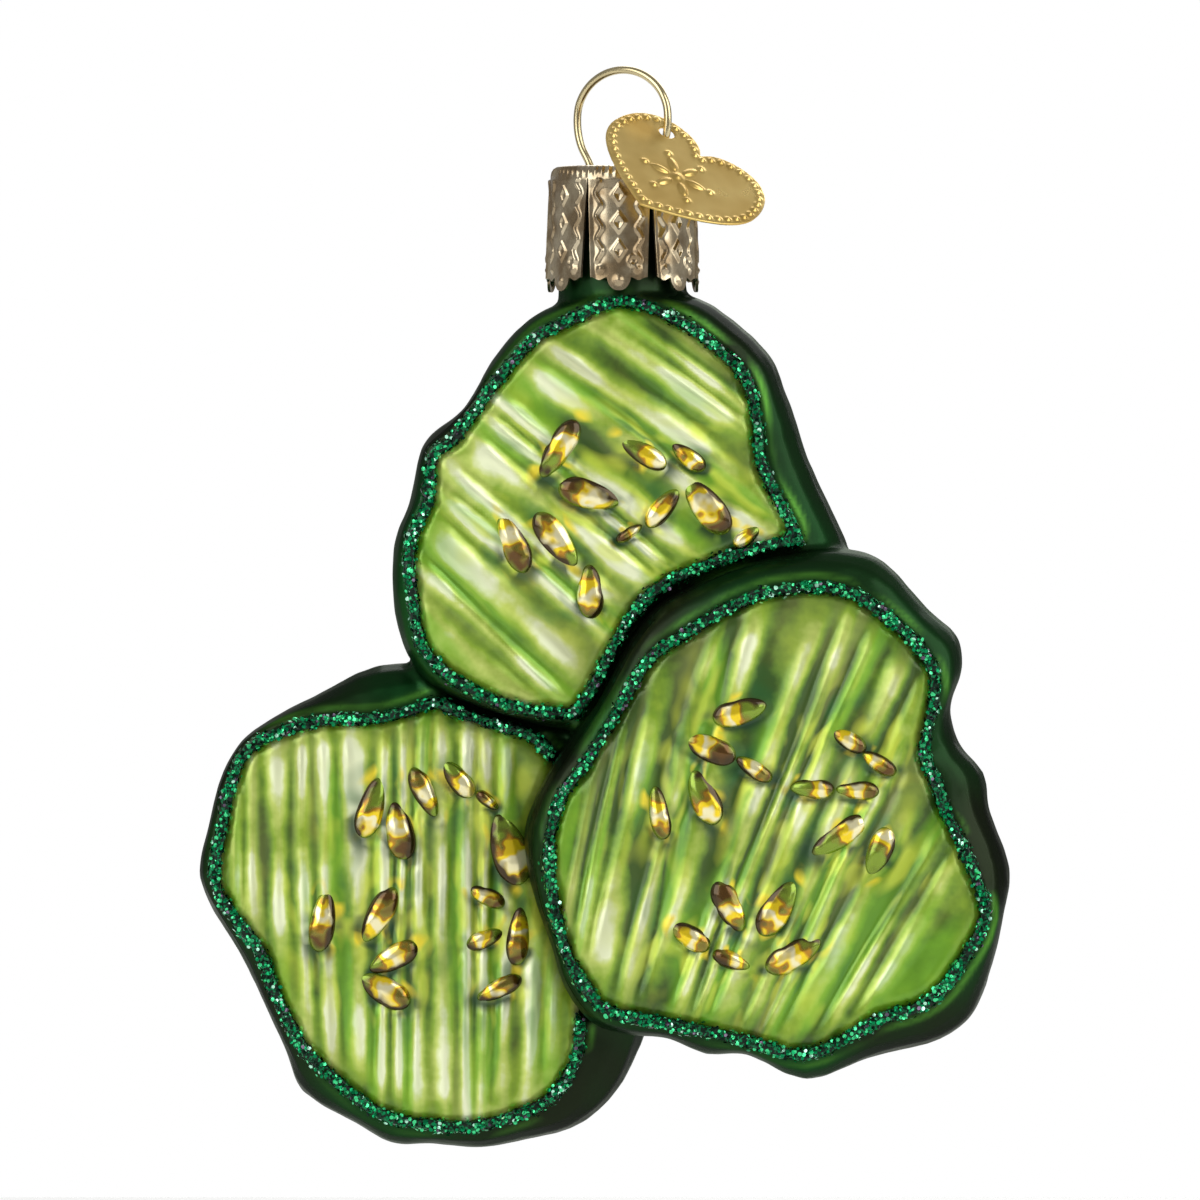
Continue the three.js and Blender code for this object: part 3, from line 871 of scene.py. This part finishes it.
class ORNAMENT_OT_seeds(bpy.types.Operator):
    """Moulds the seeds and paints them gold and brown"""

    bl_idname = "ornament.seeds"
    bl_label = "Seeds"

    def execute(self, context):
        settings = context.scene.ornament_seeds
        finish = seed_finish(settings)
        shape, faces = seed_shape()
        chance = np.random.RandomState(SEED_DRAW)
        for coat in COATS:
            seeds = seeds_on(settings, *coat, shape, faces, chance)
            dress(seeds, finish, "glass", "face_lacquer")
        return {"FINISHED"}


# Glitter

FLAKE_DRAW = 5
FLAKE_HEIGHT = 0.09  # half a flake's thickness by its radius
FLAKE_TILT = 0.3
FLAKE_SCATTER = 0.12 * MM
HEXAGON_AREA = 2.6  # of radius 1
# The bright, sparkle and dark kinds are painted highlight and painted shade on flakes of one
# emerald glitter.
FLAKE_KINDS = {"emerald": 0.41, "bright": 0.66, "spark": 0.72, "dark": 0.97, "dusk": 1.01}


def glue_bead(settings, name, side_name):
    """The rounded bead of glue that carries the glitter."""
    piece = copied_node(face_node("glitter", name, side_name), f"{name}_glue_{side_name}")
    smoothed(remeshed(piece, settings.cell), 4)
    normals = read(piece.data.vertices, "normal", 3)
    move_points(piece, points_of(piece) - settings.slimming * normals * (1, 0, 1))
    lumpy(piece, "Lumps", settings.lump_span, settings.lumps, 0.48)
    return smooth(piece)


def glue_finish(settings):
    """Green glue packed with small glitter."""
    finish = Finish("glue")
    cells = finish.node("TexVoronoi", {"Vector": finish.place(), "Scale": 5200}, "Color")
    spread = finish.node("SeparateColor", {"Color": cells})
    return finish.set(
        Base_Color=finish.mix(finish.between(spread, 0.55, 0.95), settings.glue, settings.emerald),
        Metallic=0.4,
        Roughness=0.3,
        Normal=finish.bump(spread, 0.1 * MM, 0.8))


def flakes_over(beads, settings):
    """Scatters flat six-sided flakes over the beads, and sorts them by colour, some lightened as
    painted highlights and some darkened as painted shade.
    """
    select_none()
    bpy.ops.mesh.primitive_circle_add(vertices=6, radius=1, fill_type="NOTHING")
    outline = points_of(bpy.context.object)
    bpy.data.objects.remove(bpy.context.object)
    shape = np.concatenate((outline, ((0, 0, FLAKE_HEIGHT), (0, 0, -FLAKE_HEIGHT))))
    faces = [(i, (i + 1) % 6, 6) for i in range(6)] + [((i + 1) % 6, i, 7) for i in range(6)]
    chance = np.random.RandomState(FLAKE_DRAW)
    middles, normals, areas = (
        np.concatenate([read(bead.data.polygons, field, width) for bead, _ in beads])
        for field, width in (("center", 3), ("normal", 3), ("area", 1)))
    sides = np.concatenate([np.full(len(bead.data.polygons), side) for bead, side in beads])
    areas = np.where(normals[:, 1] * sides > -0.15, areas, 0)
    count = int(settings.cover * areas.sum() / (HEXAGON_AREA * settings.flake ** 2))
    picked = chance.choice(len(areas), count, p=areas / areas.sum())
    out = normals[picked] + chance.normal(0, FLAKE_TILT, (count, 3))
    out /= np.linalg.norm(out, axis=1)[:, None]
    first = np.cross(out, chance.normal(0, 1, (count, 3)))
    first /= np.linalg.norm(first, axis=1)[:, None]
    size = settings.flake * chance.uniform(0.75, 1.3, count)[:, None, None]
    middle = middles[picked] + chance.normal(0, FLAKE_SCATTER, (count, 3))
    middle = middle + normals[picked] * chance.uniform(0, 0.1 * MM, count)[:, None]
    axes = np.stack((first, np.cross(out, first), out), 1)
    placed = middle[:, None] + size * np.einsum("vk,nkj->nvj", shape, axes)
    draw = chance.uniform(0, 1, count)
    low = 0
    for kind, high in FLAKE_KINDS.items():
        chosen = placed[(draw >= low) & (draw < high)]
        corners = np.array(faces)[None] + (np.arange(len(chosen)) * len(shape))[:, None, None]
        corners = corners.reshape(-1, 3).tolist()
        yield kind, built(f"glitter_{kind}", chosen.reshape(-1, 3), corners)
        low = high


class ORNAMENT_OT_glitter(bpy.types.Operator):
    """Lays the glue round each face and scatters the glitter over it"""

    bl_idname = "ornament.glitter"
    bl_label = "Glitter"

    def execute(self, context):
        settings = context.scene.ornament_glitter
        finish = glue_finish(settings)
        beads = []
        for coat in COATS:
            beads.append((glue_bead(settings, *coat), SIDES[coat[1]]))
            dress(beads[-1][0], finish, "glass", "glitter", face_node("glitter", *coat))
        for kind, piece in flakes_over(beads, settings):
            foil = Finish(f"flake_{kind}").set(
                Base_Color=getattr(settings, kind), Metallic=0.85, Roughness=0.22)
            dress(piece, foil, "glass", "glitter")
        return {"FINISHED"}


# Cap

CAP_TABS = 7
CAP_COLUMNS = 56
CAP_TOP_ROWS = 10
CAP_BEVEL_ROWS = 7
CAP_SKIRT_ROWS = 94
HALF_CUT = 0.05 * MM  # half a slit's width at its upper end
CAP_MERGE = 0.015 * MM
CAP_CREASE = math.radians(50)


def stamped(settings, across, down, half_tab):
    """Height of the stamping on a tab: edge waves, lozenges, dots and a ring, summed in mm."""
    u, d, half, end = across / MM, down / MM, half_tab / MM, settings.tab_length / MM
    line = half - 0.9 + 0.24 * np.sin(2 * math.pi * d / 2.05)
    height = 0.2 * hill(np.abs(u) - line, 0.18) * np.clip((d - 1) / 0.3, 0, 1)
    height = height * np.clip((end - 1.1 - d) / 0.4, 0, 1)
    for middle in (2.7, 5.2, 7.7):
        far = np.abs(u) / 0.8 + np.abs(d - middle) / 1.15
        height = height + 0.18 * hill(far - 0.62, 0.26)
    height = height + 0.22 * hill(np.hypot(np.abs(u) - half + 0.95, d - end + 0.75), 0.32)
    height = height + 0.13 * hill(np.hypot(u - half + 1.35, d - end + 1.5) - 0.42, 0.17)
    height = height + 0.2 * hill(np.hypot(u, d - end - 0.25), 0.36)
    bent = 0.16 * hill(half - np.abs(u), 0.28)
    return (height + bent * np.clip((d - 1.2) / 2, 0, 1)) * MM


def cap_sector(settings, number):
    """One seventh of the cap as a grid, from the middle of its top to the end of its tab."""
    half = math.pi / CAP_TABS
    turn = settings.slit_turn - math.pi / 2 + (2 * number + 1) * half
    span = np.linspace(-1, 1, CAP_COLUMNS + 1)
    bevel, flat = settings.bevel, settings.top_radius - settings.bevel
    lobe = settings.lobe * np.clip(1 - (np.abs(span) / 0.42) ** 2.4, 0, 1) ** 0.6
    scallop = 0.28 * MM * hill(np.abs(span) - 0.7, 0.17)
    ticks = 0.14 * MM * np.maximum(np.sin(9 * CAP_TABS * (turn + span * half)), -0.3)
    rows = []

    def ring(radius, height, spread=span):
        theta = turn + spread * half
        rows.append(np.column_stack((radius * np.cos(theta), radius * np.sin(theta),
                                     np.broadcast_to(height, theta.shape))))

    for share in np.linspace(0.001, 1, CAP_TOP_ROWS):
        ring(flat * share, settings.top)
    for tilt in np.linspace(0, math.pi / 2, CAP_BEVEL_ROWS)[1:]:
        reach = bevel + ticks * math.sin(2 * tilt) ** 2
        ring(flat + reach * math.sin(tilt), settings.top - bevel + reach * math.cos(tilt))
    for share in np.linspace(0, 1, CAP_SKIRT_ROWS + 1)[1:]:
        down = bevel + (settings.tab_length + lobe + scallop - bevel) * share
        flare = np.clip(down / (settings.tab_length + settings.lobe), 0, 1)
        radius = settings.top_radius + (settings.skirt_radius - settings.top_radius) * flare
        below = down - settings.slit_start
        opening = np.clip(below / (settings.tab_length - settings.slit_start), 0, 1)
        cut = np.where(below > 0, HALF_CUT + opening * (settings.slit / 2 - HALF_CUT), 0)
        spread = span * (1 - cut / (radius * half))
        height = stamped(settings, spread * radius * half, down, radius * half - cut)
        height = height - 0.12 * MM * np.minimum((down - bevel) / MM, 1)
        ring(radius + height, settings.top - down, spread)
    return np.stack(rows)


def stamped_cap(settings):
    """The crown cap: one stamped sheet with seven tabs and two holes for the wire."""
    points = np.stack([cap_sector(settings, number) for number in range(CAP_TABS)])
    spots = np.arange(points[..., 0].size).reshape(points.shape[:3])
    quads = np.stack((spots[:, :-1, :-1], spots[:, 1:, :-1], spots[:, 1:, 1:],
                      spots[:, :-1, 1:]), -1)
    piece = built("stamped_cap", points.reshape(-1, 3), quads.reshape(-1, 4).tolist())
    edited(piece, bpy.ops.mesh.remove_doubles, threshold=CAP_MERGE)
    outward(piece)
    modified(piece, "SOLIDIFY", thickness=settings.sheet, offset=-1)
    for reach in (-settings.hole_span, settings.hole_span):
        drilled(piece, settings.hole_radius, 28, (
            reach * math.cos(settings.loop_turn), reach * math.sin(settings.loop_turn),
            settings.top))
    take(piece)
    bpy.ops.object.shade_smooth_by_angle(angle=CAP_CREASE)
    return piece


def cap_finish(settings):
    """Champagne-coloured sheet, tarnished in patches and lightly brushed."""
    finish = Finish("cap_metal")
    patches = finish.noise(420, 4)
    brushing = finish.noise(1, 3, finish.node(
        "Mapping", {"Vector": finish.place(), "Scale": (0.25 * MM, 0.25 * MM, 4 * MM)},
        vector_type="TEXTURE"))
    return finish.set(
        Base_Color=finish.mix(finish.between(patches, 0.38, 0.64), settings.shade, settings.light),
        Metallic=0.95,
        Roughness=finish.between(patches, 0.3, 0.7, 0.28, 0.16),
        Normal=finish.bump(brushing, 0.01 * MM, 0.2))


class ORNAMENT_OT_cap(bpy.types.Operator):
    """Stamps the crown cap"""

    bl_idname = "ornament.cap"
    bl_label = "Cap"

    def execute(self, context):
        settings = context.scene.ornament_cap
        dress(stamped_cap(settings), cap_finish(settings), "cap", "cap_metal", "cap")
        return {"FINISHED"}


# Wire

def round_wire(settings):
    """The CAD wire with its section made round."""
    piece = copied_node("hanger_wire", "wire")
    most = math.radians(60)
    edited(piece, bpy.ops.mesh.tris_convert_to_quads, face_threshold=most, shape_threshold=most)
    modified(piece, "SUBSURF", levels=2, render_levels=2)
    modified(piece, "DISPLACE", strength=settings.growth, mid_level=0)
    return smooth(piece)


def wire_finish(settings):
    """Pale gold wire with drawing marks along it."""
    finish = Finish("wire_metal")
    marks = finish.noise(420)
    dull = [level * 0.8 for level in settings.metal]
    return finish.set(
        Base_Color=finish.mix(finish.between(marks, 0.35, 0.7), settings.metal, dull),
        Metallic=1,
        Roughness=finish.between(marks, 0.3, 0.7, 0.14, 0.2))


class ORNAMENT_OT_wire(bpy.types.Operator):
    """Draws the hanger wire"""

    bl_idname = "ornament.wire"
    bl_label = "Wire"

    def execute(self, context):
        settings = context.scene.ornament_wire
        dress(round_wire(settings), wire_finish(settings), "hanger", "wire_metal", "hanger_wire")
        return {"FINISHED"}


# Tag

BEAD_WIDTH = 0.22 * MM


def heart_outline(settings, steps=40):
    """The heart's outline, from the notch round to the notch again."""
    w, h, tip = settings.half_width, settings.lobe_height, -settings.tip_depth
    right = (((0, 0), (w * 0.07, h * 0.7), (w * 0.25, h), (w * 0.46, h)),
             ((w * 0.46, h), (w * 0.8, h), (w, 0), (w, tip * 0.27)),
             ((w, tip * 0.27), (w, tip * 0.57), (w * 0.52, tip * 0.8), (0, tip)))
    share = np.linspace(0, 1, steps, endpoint=False)[:, None]
    half = []
    for curve in right:
        a, b, c, d = np.array(curve)
        half.append(a * (1 - share) ** 3 + 3 * b * share * (1 - share) ** 2
                    + 3 * c * share ** 2 * (1 - share) + d * share ** 3)
    half = np.concatenate(half)
    mirrored = np.concatenate(([[0, tip]], half[:0:-1] * (-1, 1)))
    return np.concatenate((half, mirrored))


def spaced(points, pitch):
    """Points at even distances along a closed line."""
    closed = np.concatenate((points, points[:1]))
    run = np.concatenate(([0], np.cumsum(np.linalg.norm(np.diff(closed, axis=0), axis=1))))
    count = round(run[-1] / pitch)
    stops = (np.arange(count) + 0.5) * run[-1] / count
    return np.column_stack([np.interp(stops, run, closed[:, axis]) for axis in (0, 1)])


def inset(points, distance):
    """A clockwise closed line moved inwards."""
    along = np.roll(points, -1, 0) - np.roll(points, 1, 0)
    along /= np.linalg.norm(along, axis=1)[:, None]
    return points + distance * np.column_stack((along[:, 1], -along[:, 0]))


def tag_placing(settings):
    """From the tag's own flat frame, with its hole at the origin, to its place on the wire."""
    x, z = math.cos(settings.turn), math.sin(settings.turn)
    up = Vector((x, settings.side_slope * x + settings.lean_slope * z, z)).normalized()
    out = Vector((settings.side_slope, -1, settings.lean_slope)).normalized()
    placing = Matrix((up.cross(out), up, out)).transposed().to_4x4()
    placing.translation = next(
        Vector(joint["pos_m"]) for joint in frame["joints"] if joint["name"] == "tag_swing")
    return placing


def rosette(flat, middle):
    """Height of a plain rosette: a dot, six petals and six smaller dots."""
    x, y = ((flat - middle) / MM).T
    height = hill(np.hypot(x, y), 0.42)
    for number in range(6):
        turn = math.radians(15 + 60 * number)
        run = x * math.cos(turn) + y * math.sin(turn)
        gap = y * math.cos(turn) - x * math.sin(turn)
        petal = np.clip(1 - ((run - 1.75) / 0.95) ** 2 - (gap / 0.42) ** 2, 0, 1) ** 0.7
        height = np.maximum(height, np.maximum(petal, hill(np.hypot(run - 3.25, gap), 0.26)))
    return height


def stamped_tag(settings):
    """The foil heart: beads round its border and a plain rosette in its middle."""
    outline = heart_outline(settings)
    hole = np.array((settings.hole_across, settings.hole_up))
    sheet = np.column_stack((outline - hole, np.full(len(outline), -settings.blank / 2)))
    piece = built("foil_heart", sheet, [tuple(range(len(sheet)))])
    thickened(piece, 0, 0, settings.blank)
    drilled(piece, settings.hole, 48, (0, 0, 0))
    smoothed(remeshed(piece, settings.cell), 3)
    points = points_of(piece)
    flat = points[:, :2] + hole
    beads = spaced(inset(outline, settings.bead_inset), settings.bead_pitch)
    away = np.linalg.norm(flat[:, None] - beads, axis=2).min(1)
    petals = rosette(flat, np.array((0.02 * settings.half_width, -0.41 * settings.tip_depth)))
    height = settings.bead_height * (hill(away, BEAD_WIDTH) + petals)
    points[:, 2] = points[:, 2] * settings.thickness / settings.blank + height
    move_points(piece, points)
    piece.data.transform(tag_placing(settings))
    piece.data.update()
    return smooth(piece)


def tag_finish(settings):
    """Satin gold foil, a little uneven."""
    finish = Finish("tag_metal")
    patches = finish.noise(210, 2)
    return finish.set(
        Base_Color=finish.mix(finish.between(patches, 0.35, 0.65), settings.shade, settings.light),
        Metallic=0.95,
        Roughness=finish.between(patches, 0.3, 0.7, 0.34, 0.26),
        Normal=finish.bump(patches, 0.05 * MM, 0.3))


class ORNAMENT_OT_tag(bpy.types.Operator):
    """Stamps the heart-shaped tag"""

    bl_idname = "ornament.tag"
    bl_label = "Tag"

    def execute(self, context):
        settings = context.scene.ornament_tag
        dress(stamped_tag(settings), tag_finish(settings), "tag", "tag_metal", "heart_tag")
        return {"FINISHED"}


# Stage

LAMPS = (
    ("key", (-0.75, -0.75, 0.45), 0.8, 1, 6),
    ("fill", (0.85, -0.75, 0.5), 0.7, 1, 5),
    ("rear", (0.3, 0.95, 0.55), 0.9, 0.8, 5),
    ("side", (1.15, -0.35, 0.15), 0.25, 1.2, 2.8),
)
FOCAL_LENGTH = 400
FARTHEST = 50


def aimed(place, target):
    """A placing that looks from one point at another."""
    back = (Vector(place) - Vector(target)).normalized()
    return Matrix.Translation(place) @ back.to_track_quat("Z", "Y").to_matrix().to_4x4()


def softbox(name, place, target, width, height, power):
    """A rectangular lamp turned to a target."""
    lamp = bpy.data.lights.new(name, "AREA")
    lamp.shape = "RECTANGLE"
    lamp.size, lamp.size_y, lamp.energy = width, height, power
    holder = bpy.data.objects.new(name, lamp)
    bpy.context.collection.objects.link(holder)
    holder.matrix_world = aimed(place, target)


def studio_room():
    """White all round for the camera, while metal sees a dimmer room."""
    world = bpy.data.worlds.new("studio")
    bpy.context.scene.world = world
    room = Nodes(world)
    camera, clear, glossy = (room.node("LightPath", output=f"Is {kind} Ray")
                             for kind in ("Camera", "Transmission", "Glossy"))
    ahead = room.node("SeparateXYZ", {0: room.node("TexCoord", output="Generated")}, "Y")
    grey = room.between(ahead, -0.3, 0.35, 0.28, 0.34)
    reflected = room.node("Mix", {0: glossy, 2: 0.5, 3: grey})
    seen = room.node("Math", {0: camera, 1: clear}, operation="MAXIMUM")
    level = room.node("Mix", {0: seen, 2: reflected, 3: 1})
    room.node("OutputWorld", {
        "Surface": room.node("Background", {"Color": (1, 1, 1), "Strength": level})})


class ORNAMENT_OT_stage(bpy.types.Operator):
    """Lays the floor, sets the lights and places the camera"""

    bl_idname = "ornament.stage"
    bl_label = "Stage"

    def execute(self, context):
        settings = context.scene.ornament_stage
        select_none()
        bpy.ops.mesh.primitive_plane_add(size=settings.floor_span, location=(0, 0, settings.floor))
        floor = bpy.context.object
        floor.name = "floor"
        paper = Finish("floor_paper").set(Base_Color=settings.paper, Roughness=0.8)
        floor.data.materials.append(paper.material)
        floor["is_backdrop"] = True
        studio_room()
        middle = (settings.view_x, 0, settings.view_z)
        for name, place, width, height, power in LAMPS:
            softbox(name, place, middle, width, height, power)
        lens = bpy.data.cameras.new("camera")
        lens.lens = FOCAL_LENGTH
        lens.clip_end = FARTHEST
        reach = lens.lens / lens.sensor_width * settings.view_span
        camera = bpy.data.objects.new("camera", lens)
        bpy.context.collection.objects.link(camera)
        camera.matrix_world = aimed((settings.view_x, -reach, settings.view_z), middle)
        context.scene.camera = camera
        context.scene.view_settings.view_transform = "Standard"
        return {"FINISHED"}


SETTINGS = {
    "ornament_glass": GlassSettings,
    "ornament_faces": FaceSettings,
    "ornament_seeds": SeedSettings,
    "ornament_glitter": GlitterSettings,
    "ornament_cap": CapSettings,
    "ornament_wire": WireSettings,
    "ornament_tag": TagSettings,
    "ornament_stage": StageSettings,
}
OPERATORS = (ORNAMENT_OT_glass, ORNAMENT_OT_faces, ORNAMENT_OT_seeds, ORNAMENT_OT_glitter,
             ORNAMENT_OT_cap, ORNAMENT_OT_wire, ORNAMENT_OT_tag, ORNAMENT_OT_stage)


class ORNAMENT_PT_sidebar(bpy.types.Panel):
    """Lists the ornament's pieces with their sizes and colours"""

    bl_idname = "ORNAMENT_PT_sidebar"
    bl_label = "Ornament"
    bl_space_type = "VIEW_3D"
    bl_region_type = "UI"
    bl_category = "Ornament"

    def draw(self, context):
        for name, operator in zip(SETTINGS, OPERATORS):
            box = self.layout.box()
            box.operator(operator.bl_idname)
            settings = getattr(context.scene, name)
            for field in settings.__annotations__:
                box.prop(settings, field)


def register():
    for name, group in SETTINGS.items():
        bpy.utils.register_class(group)
        setattr(bpy.types.Scene, name, bpy.props.PointerProperty(type=group))
    for part in (*OPERATORS, ORNAMENT_PT_sidebar):
        bpy.utils.register_class(part)


def unregister():
    for part in (ORNAMENT_PT_sidebar, *reversed(OPERATORS)):
        bpy.utils.unregister_class(part)
    for name, group in reversed(SETTINGS.items()):
        delattr(bpy.types.Scene, name)
        bpy.utils.unregister_class(group)


def main():
    register()
    for operator in OPERATORS:
        group, call = operator.bl_idname.split(".")
        getattr(getattr(bpy.ops, group), call)()
    boxes = {"cad": cad_box, "visual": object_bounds()}
    {name: [list(corner) for corner in box] for name, box in boxes.items()}


if __name__ == "__main__":
    main()
